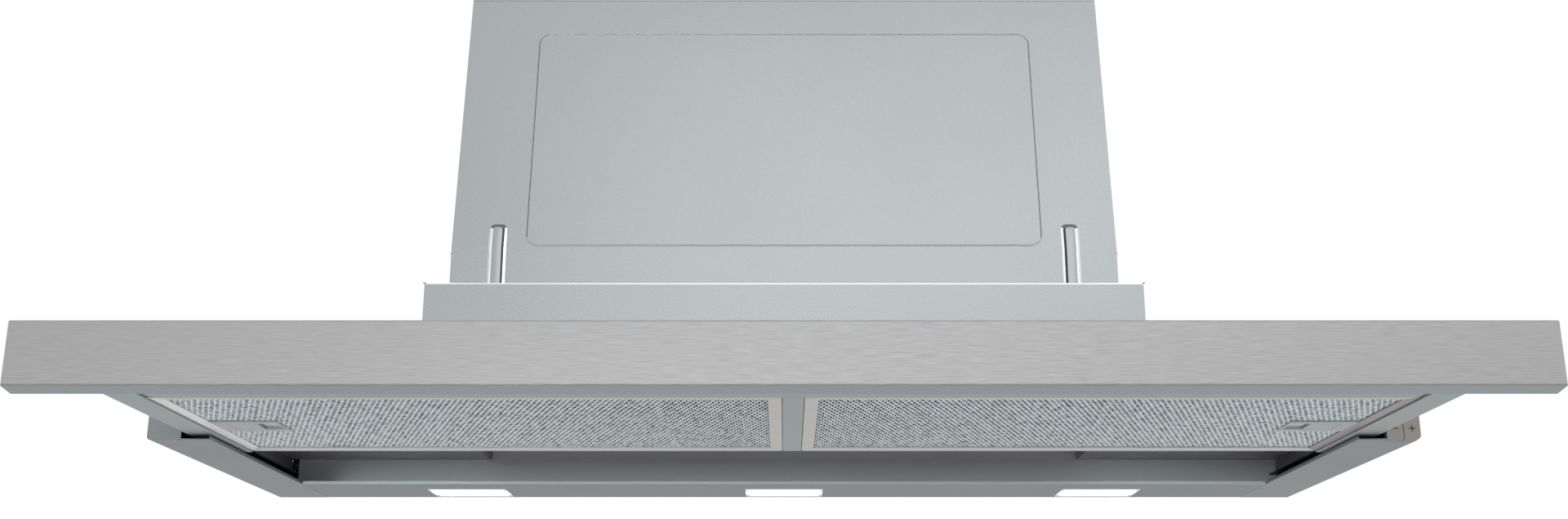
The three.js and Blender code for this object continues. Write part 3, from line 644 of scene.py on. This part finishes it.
# The round fold along the top front edge gets a painted highlight line.
coat_where(housing, painted_highlight_slope, lambda normal, middle: (
    middle.y < housing_low.y + fold_radius and middle.z > housing_high.z - fold_radius))
ears = []
for side in (-1, 1):
    edge, reach = side * housing_high.x, side * ear
    outline = [(edge - reach, housing_high.z - ear), (edge, housing_high.z - ear),
               (edge + reach, housing_high.z + ear / 3), (edge - reach, housing_high.z)]
    ears.append(prism("ear", outline, 1, (housing_low.y + ear_inset, housing_low.y + sheet)))
    round_edges(ears[-1], 0.1 * MM)
add_on(joined("folded_ears", ears), shaded_slope, "hood")
for part in ("side_left", "side_right", "back", "top"):
    with_round_edges(f"motor_box_{part}", box_coat, 0.2 * MM)
zinc_plate = metal_finish("zinc_plate", tone(150, 152, 156), roughness=0.38, scale=300, depth=0.2)
dark_zinc = metal_finish("dark_zinc", tone(70, 72, 75), roughness=0.4, scale=300, depth=0.2)


def lathe(name, outline, middle, axis, steps=48):
    """A turned piece: (radius, height) points spun round the axis through the middle."""
    bpy.ops.object.select_all(action="DESELECT")
    bpy.ops.mesh.primitive_circle_add(vertices=len(outline), fill_type="NOTHING")
    piece = bpy.context.object
    piece.name = name
    axis, middle = Vector(axis), Vector(middle)
    across = axis.orthogonal().normalized()
    bpy.ops.object.mode_set(mode="EDIT")
    bpy.ops.mesh.select_all(action="SELECT")
    mesh = bmesh.from_edit_mesh(piece.data)
    for corner, (radius, height) in zip(mesh.verts, outline):
        corner.co = middle + across * radius + axis * height
    bmesh.update_edit_mesh(piece.data)
    bpy.ops.mesh.spin(steps=steps, angle=2 * math.pi, center=middle, axis=axis)
    bpy.ops.mesh.select_all(action="SELECT")
    bpy.ops.mesh.remove_doubles(threshold=0.01 * MM)
    bpy.ops.mesh.normals_make_consistent(inside=False)
    bpy.ops.object.mode_set(mode="OBJECT")
    bpy.ops.object.shade_smooth_by_angle(angle=math.radians(35))
    return piece


def screw_pattern(radius, rise):
    """A pan-head screw with a cross recess, its head facing up from the origin."""
    shank, slope, axis_gap = radius * 0.6, rise * 0.6, 0.02 * MM
    head = lathe("screw", [(axis_gap, -rise), (shank, -rise), (shank, 0), (radius, 0),
                           (radius, rise - slope), (radius - slope, rise), (axis_gap, rise)],
                 (0, 0, 0), (0, 0, 1), 20)
    arm, width, depth = radius * 0.55, radius * 0.16, rise * 0.6
    cut_out(head, block_between("slot", (-arm, -width, rise - depth), (arm, width, rise + depth)))
    cut_out(head, block_between("slot", (-width, -arm, rise - depth), (width, arm, rise + depth)))
    return head


def screws_at(name, pattern, spots, finish, cad_node):
    """Copies of the pattern at each (place, way), as one piece that moves with the CAD node's body."""
    copies = []
    for place, way in spots:
        copy = bpy.data.objects.new("screw_copy", pattern.data.copy())
        bpy.context.scene.collection.objects.link(copy)
        turn = Vector(way).to_track_quat("Z", "Y").to_matrix().to_4x4()
        copy.data.transform(Matrix.Translation(place) @ turn)
        copies.append(copy)
    add_on(joined(name, copies), finish, body_of(cad_node))


tab_screw, sheet_screw = screw_pattern(1.3 * MM, 1.2 * MM), screw_pattern(3.2 * MM, 1.4 * MM)
side_row, side_heights = -12 * MM, (110 * MM, 220 * MM, 335 * MM)
top_rear_row, top_front_row, top_reach = -6 * MM, -174 * MM, 225 * MM
edge_spots = [(Vector((side * front_high.x, side_row, z)), (side, 0, 0))
              for side in (-1, 1) for z in side_heights]
edge_spots += [(Vector((x, y, box_top)), (0, 0, 1)) for x in (-top_reach, 0, top_reach)
               for y in (top_rear_row, top_front_row) if x or y == top_front_row]
screws_at("box_screws", sheet_screw, edge_spots, zinc_plate, "motor_box_top")
tab_height, tab_inset = bend_height - 3.5 * MM, 4 * MM
screws_at("bend_screws", tab_screw, [
    (Vector((side * front_high.x, face_y(tab_height) + tab_inset, tab_height)), (side, 0, 0))
    for side in (-1, 1)], dark_zinc, "motor_box_top")

# ---- Duct collar and flaps ----
# A moulded collar with two ribs takes the duct. Two half-round flaps on one steel spindle fall shut when the
# fan stops.
low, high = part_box("duct_collar")
collar_radius, collar_wall, flange_wide, flange_thick = 75 * MM, 2 * MM, 10 * MM, 2 * MM
collar_bore, flange_rim = collar_radius - collar_wall, collar_radius + flange_wide
foot_edge, flange_edge, fillet = 0.6 * MM, 0.4 * MM, 0.8 * MM
rib, rib_flat, rib_heights = 0.9 * MM, 0.3 * MM, (10 * MM, 17 * MM)
collar_tall, taper_long, taper_in, mouth_edge = high.z - low.z, 2 * MM, 0.6 * MM, 0.3 * MM
collar_outline = [(collar_bore, 0), (flange_rim - foot_edge, 0), (flange_rim, foot_edge),
                  (flange_rim, flange_thick - flange_edge), (flange_rim - flange_edge, flange_thick),
                  (collar_radius + fillet, flange_thick), (collar_radius, flange_thick + fillet)]
for rib_height in rib_heights:
    collar_outline += [(collar_radius, rib_height - rib), (collar_radius + rib, rib_height - rib_flat),
                       (collar_radius + rib, rib_height + rib_flat), (collar_radius, rib_height + rib)]
collar_outline += [(collar_radius, collar_tall - taper_long), (collar_radius - taper_in, collar_tall),
                   (collar_bore + mouth_edge, collar_tall), (collar_bore, collar_tall - flange_edge)]
collar_middle = ((low.x + high.x) / 2, (low.y + high.y) / 2, low.z)
stand_for(lathe("collar", collar_outline, collar_middle, (0, 0, 1), 96), grey_plastic, "duct_collar")
screw_circle = collar_radius + 5.5 * MM
collar_spots = []
for turn in (45, 135, 225, 315):
    out = Vector((math.cos(math.radians(turn)), math.sin(math.radians(turn)), 0)) * screw_circle
    collar_spots.append((Vector(collar_middle) + out + Vector((0, 0, flange_thick)), (0, 0, 1)))
screws_at("collar_screws", sheet_screw, collar_spots, zinc_plate, "duct_collar")
finish_node("flap_spindle", zinc_plate)
finish_node("flap_front", grey_plastic)
finish_node("flap_rear", grey_plastic)

# ---- Fan ----
# A scroll of grey plastic with an inlet on each side holds a moulded drum wheel. The motor sits inside the
# wheel on a bracket of folded sheet, and a steel shaft carries the wheel.
finish_node("fan_scroll", grey_plastic)
finish_node("fan_wheel", black_plastic)
finish_node("motor_shaft", zinc_plate)
finish_node("fan_motor", zinc_plate)
finish_node("motor_bracket", carcass_coat)

# ---- Electrics ----
# Control box, lamp driver and motor capacitor are fixed to the back inside. The terminal box on the top is a
# moulded case with a lid held by four screws. Its gland is a hexagon nut with a domed cap.
with_round_edges("control_box", grey_plastic, 0.8 * MM)
with_round_edges("led_driver", black_plastic, 0.8 * MM)
finish_node("capacitor", zinc_plate)
low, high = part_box("terminal_box")
lid_height, seam = 6 * MM, 0.5 * MM
case = block_between("case", low + Vector((seam, seam, 0)), high - Vector((seam, seam, lid_height)))
lid = block_between("lid", (low.x, low.y, high.z - lid_height + seam), high)
for part in (case, lid):
    bevel_where(part, lambda at: True, 1 * MM, 3)
terminal_case = joined("terminal_case", [case, lid])
stand_for(terminal_case, grey_plastic, "terminal_box")
choose_only(terminal_case)
bpy.ops.object.shade_smooth_by_angle(angle=math.radians(24))
screw_inset = 7 * MM
screws_at("lid_screws", sheet_screw, [
    (Vector((x, y, high.z)), (0, 0, 1)) for x in (low.x + screw_inset, high.x - screw_inset)
    for y in (low.y + screw_inset, high.y - screw_inset)], zinc_plate, "terminal_box")
low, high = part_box("cable_gland")
gland_middle, gland_long = (low.x, (low.y + high.y) / 2, (low.z + high.z) / 2), high.x - low.x
gland_bore, nut_radius, nut_long = 4 * MM, 7.6 * MM, 5 * MM
cap_radius, cap_round, cap_start = 7 * MM, 3 * MM, nut_long + 0.2 * MM
nut = lathe("nut", [(gland_bore, 0), (nut_radius, 0), (nut_radius, nut_long), (gland_bore, nut_long)],
            gland_middle, (1, 0, 0), 6)
dome = arc((gland_long - cap_round, cap_radius - cap_round), cap_round, 90, 0)
cap = lathe("cap", [(gland_bore, cap_start), (cap_radius, cap_start)]
            + [(radius, height) for height, radius in dome] + [(gland_bore, gland_long)],
            gland_middle, (1, 0, 0), 32)
stand_for(joined("gland", [nut, cap]), black_plastic, "cable_gland")

# ---- Cabinet clamps ----
# A zinc-plated steel plate on each side of the motor box. Two screws in each press it outwards against the
# side of the cabinet.
clamp_screw_reach = 18 * MM
for side, way in (("left", -1), ("right", 1)):
    with_round_edges(f"cabinet_clamp_{side}", zinc_plate, 0.3 * MM)
    low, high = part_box(f"cabinet_clamp_{side}")
    outer, middle = low.x if way < 0 else high.x, (low + high) / 2
    screws_at(f"clamp_screws_{side}", tab_screw, [
        (Vector((outer, middle.y, middle.z + rise)), (way, 0, 0))
        for rise in (-clamp_screw_reach, clamp_screw_reach)], dark_zinc, f"cabinet_clamp_{side}")
for pattern in (tab_screw, sheet_screw):
    bpy.data.objects.remove(pattern)

# ---- Front bar ----
# One folded strip of brushed stainless steel with a plate at each end. Its lower edge is hemmed and turned
# back into a lip, which has the grey coat of the rails.
brushed_steel = metal_finish("brushed_steel", tone(158, 158, 159), metallic=1.0, roughness=0.42,
                             stretch=(0.045, 1, 1), scale=1500, depth=0.36, cloud=0.04, bump=0.014 * MM,
                             anisotropic=0.4)
rail_coat = metal_finish("rail_coat", tone(158, 166, 168))
low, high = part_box("front_bar")
bar_sheet, bar_bevel, bar_fold, bar_round = 1.2 * MM, 1 * MM, 5 * MM, 0.5 * MM
hem_above, hem_half, hem_deep = 0.9 * MM, 0.2 * MM, 0.26 * MM
bar_foot = low.z + 2 * MM
hem = bar_foot + hem_above
bar = prism("bar", [
    (low.y + bar_fold, high.z), (low.y + bar_bevel, high.z), (low.y, high.z - bar_bevel),
    (low.y, hem + hem_half), (low.y + hem_deep, hem), (low.y, hem - hem_half),
    (low.y, bar_foot + bar_round), (low.y + bar_round, bar_foot), (high.y, low.z),
    (high.y, low.z + bar_sheet), (low.y + bar_sheet, bar_foot + bar_sheet),
    (low.y + bar_sheet, high.z - bar_sheet), (low.y + bar_fold, high.z - bar_sheet)], 0, (low.x, high.x))
round_edges(bar, 0.12 * MM)
plates = []
for left in (low.x, high.x - bar_sheet):
    plates.append(block_between("end_plate", (left, low.y + bar_bevel, bar_foot),
                                (left + bar_sheet, low.y + bar_fold, high.z - bar_bevel)))
    round_edges(plates[-1], 0.2 * MM)
bar = joined("bar_made", [bar] + plates)
stand_for(bar, brushed_steel, "front_bar")
lip_start, lip_top = low.y + 0.6 * MM, bar_foot + 0.1 * MM
coat_where(bar, rail_coat, lambda normal, middle: middle.y > lip_start and middle.z < lip_top)

# ---- Visor frame ----
# Rails folded from coated sheet, a tray behind the bar, a divider and a rear rail carry the two filters.
# They are spot-welded, and a black plastic runner beside each rail glides in the slide channel.
for node in ("visor_cross_rail", "visor_divider", "visor_rear_rail", "visor_rail_left", "visor_rail_right"):
    with_round_edges(node, rail_coat, 0.3 * MM)
finish_node("rail_runner_left", black_plastic)
finish_node("rail_runner_right", black_plastic)

# ---- Grease filters ----
# Each is a frame of rolled aluminium strip, mitred at the corners, round a pack of expanded aluminium mesh.
# A pressed plate near its outer end carries the slider that latches the filter in the visor.
frame_strip = metal_finish("frame_strip", tone(182, 179, 177), metallic=1.0, roughness=0.3, scale=500)
# Lit and shaded copies of the strip: the outer strip of the left filter gets a painted highlight, that of
# the right one painted shade.
painted_highlight_strip = metal_finish("painted_highlight_strip", tone(222, 221, 219), metallic=1.0, roughness=0.3, scale=500)
shaded_strip = metal_finish("shaded_strip", tone(128, 124, 120), metallic=1.0, roughness=0.3, scale=500)
latch_metal = metal_finish("latch_metal", tone(172, 179, 181))
pocket_painted_light = metal_finish("pocket_painted_light", tone(204, 211, 213))
opening_wide, opening_deep, opening_drop = 3.7 * MM, 9.8 * MM, 1.8 * MM
mouth_shares, floor_shares, strand_drop = (0.56, 0.78), (0.3, 0.45), 0.4 * MM
mesh_metal = metal_finish("mesh_metal", tone(224, 233, 236), metallic=0.7, roughness=0.35)


def shade_the_openings(material, middle, face, depth, dark):
    """Paints shade into the mesh towards the bottom of its openings, in uneven spots."""
    dark_until, bright_from, spot_scale, spot_reach = 0.6, 0.93, 260, 0.18
    nodes, links = material.node_tree.nodes, material.node_tree.links
    grain, place = nodes["Group"], nodes["Texture Coordinate"]

    def mapped(source, *ends):
        """The source, mapped from the first two ends to the last two."""
        node = nodes.new("ShaderNodeMapRange")
        links.new(source, node.inputs["Value"])
        for name, end in zip(("From Min", "From Max", "To Min", "To Max"), ends):
            node.inputs[name].default_value = end
        return node.outputs["Result"]

    split = nodes.new("ShaderNodeSeparateXYZ")
    links.new(place.outputs["Object"], split.inputs[0])
    reach = maths(nodes, links, "ABSOLUTE", maths(nodes, links, "SUBTRACT", split.outputs["Z"], middle))
    spots = nodes.new("ShaderNodeTexNoise")
    spots.inputs["Scale"].default_value = spot_scale
    links.new(place.outputs["Object"], spots.inputs["Vector"])
    uneven = maths(nodes, links, "ADD", mapped(reach, face - depth, face, 0, 1),
                   mapped(spots.outputs["Fac"], 0.3, 0.7, -spot_reach, spot_reach))
    shade = nodes.new("ShaderNodeValToRGB")
    low_end, high_end = shade.color_ramp.elements
    low_end.position, low_end.color = dark_until, dark
    high_end.position, high_end.color = bright_from, grain.inputs["Colour"].default_value
    links.new(uneven, shade.inputs["Fac"])
    links.new(shade.outputs["Color"], grain.inputs["Colour"])


low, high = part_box("filter_mesh_left")
shade_the_openings(mesh_metal, (low.z + high.z) / 2, (high.z - low.z) / 2, opening_drop, tone(88, 93, 96))


def mesh_layer(name, low, high, face_z, outwards, lean):
    """One layer of expanded metal: a diamond opening, its twin half a pitch on, and copies of the two.

    The strands that lean this way are the broad ones."""
    rows, columns = round((high.y - low.y) / opening_deep), round((high.x - low.x) / opening_wide)
    wide, deep = (high.x - low.x) / columns, (high.y - low.y) / rows

    def diamond(shares, drop):
        first, second = ((share * wide / 4, share * deep / 4) for share in shares[::lean])
        ring = [(a * first[0] - b * second[0], a * first[1] + b * second[1])
                for a, b in ((1, -1), (1, 1), (-1, 1), (-1, -1))]
        return [(x, y, face_z - outwards * drop) for x, y in ring]

    layer = loft(name, [diamond((1, 1), 0), diamond(mouth_shares, strand_drop),
                         diamond(floor_shares, opening_drop)])
    bpy.ops.object.mode_set(mode="EDIT")
    mesh = bmesh.from_edit_mesh(layer.data)
    outer = [face for face in mesh.faces if all(abs(v.co.z - face_z) < 0.01 * MM for v in face.verts)]
    bmesh.ops.delete(mesh, geom=outer, context="FACES_ONLY")
    bmesh.update_edit_mesh(layer.data)
    bpy.ops.mesh.select_all(action="SELECT")
    bpy.ops.mesh.flip_normals()  # without its lid the loft is a pit, and is seen from inside
    bpy.ops.transform.translate(value=(low.x, low.y, 0))
    bpy.ops.object.mode_set(mode="OBJECT")
    shape_with(layer, "ARRAY", count=2, use_relative_offset=False, use_constant_offset=True,
               constant_offset_displace=(wide / 2, deep / 2, 0))
    for count, step in ((columns + 1, (wide, 0, 0)), (rows + 1, (0, deep, 0))):
        shape_with(layer, "ARRAY", count=count, use_relative_offset=False, use_constant_offset=True,
                   constant_offset_displace=step, use_merge_vertices=True, merge_threshold=0.02 * MM)
    return layer


def clear_over(layer, low, high):
    """Takes the mesh away where the latch plate lies, short of the plate's edge."""
    margin = 1.2 * MM
    choose_only(layer)
    bpy.ops.object.mode_set(mode="EDIT")
    mesh = bmesh.from_edit_mesh(layer.data)
    middles = ((face, face.calc_center_median()) for face in mesh.faces)
    covered = [face for face, middle in middles if low.x + margin < middle.x < high.x - margin
               and low.y + margin < middle.y < high.y - margin]
    bmesh.ops.delete(mesh, geom=covered, context="FACES")
    bmesh.update_edit_mesh(layer.data)
    bpy.ops.object.mode_set(mode="OBJECT")


def filter_strips(side, low, high, opening_low, opening_high):
    """The frame of a filter: four strips whose ends meet in mitres. The outer one gets a painted highlight
    on the left filter and painted shade on the right.
    """
    mitre, outer_painted_light = 0.12 * MM, {"left": painted_highlight_strip, "right": shaded_strip}[side]
    corners = [(low.x, low.y), (high.x, low.y), (high.x, high.y), (low.x, high.y)]
    inner = [(opening_low.x, opening_low.y), (opening_high.x, opening_low.y),
             (opening_high.x, opening_high.y), (opening_low.x, opening_high.y)]
    strips = []
    for i, edge in enumerate(("front", "right", "rear", "left")):
        first, last = Vector(corners[i]), Vector(corners[(i + 1) % 4])
        ends = [Vector(inner[(i + 1) % 4]), Vector(inner[i])]
        way = (last - first).normalized() * mitre
        outline = [first + way, last - way, ends[0] - way, ends[1] + way]
        strip = prism("strip", [tuple(point) for point in outline], 2, (low.z, high.z))
        round_edges(strip, 0.4 * MM)
        strip.data.materials.append(outer_painted_light if edge == side else frame_strip)
        strips.append(strip)
    return joined(f"filter_strips_{side}", strips)


pocket_from = 1 * MM
for side, lean in (("left", 1), ("right", -1)):
    low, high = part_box(f"filter_frame_{side}")
    mesh_low, mesh_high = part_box(f"filter_mesh_{side}")
    stand_for(filter_strips(side, low, high, mesh_low, mesh_high), None, f"filter_frame_{side}")
    layers = [mesh_layer("lower", mesh_low, mesh_high, mesh_low.z, -1, lean),
              mesh_layer("upper", mesh_low, mesh_high, mesh_high.z, 1, lean)]
    plate_low, plate_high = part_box(f"latch_plate_{side}")
    clear_over(layers[0], plate_low, plate_high)
    stand_for(joined(f"mesh_pack_{side}", layers), mesh_metal, f"filter_mesh_{side}")
    plate = with_round_edges(f"latch_plate_{side}", latch_metal, 0.2 * MM)
    # The floor of the pocket is painted lighter than the plate: painted light in the shade of the pocket.
    coat_where(plate, pocket_painted_light, lambda normal, middle: (
        normal.z < -0.9 and middle.z > plate_low.z + pocket_from))
    with_round_edges(f"latch_slider_{side}", latch_metal, 0.3 * MM)
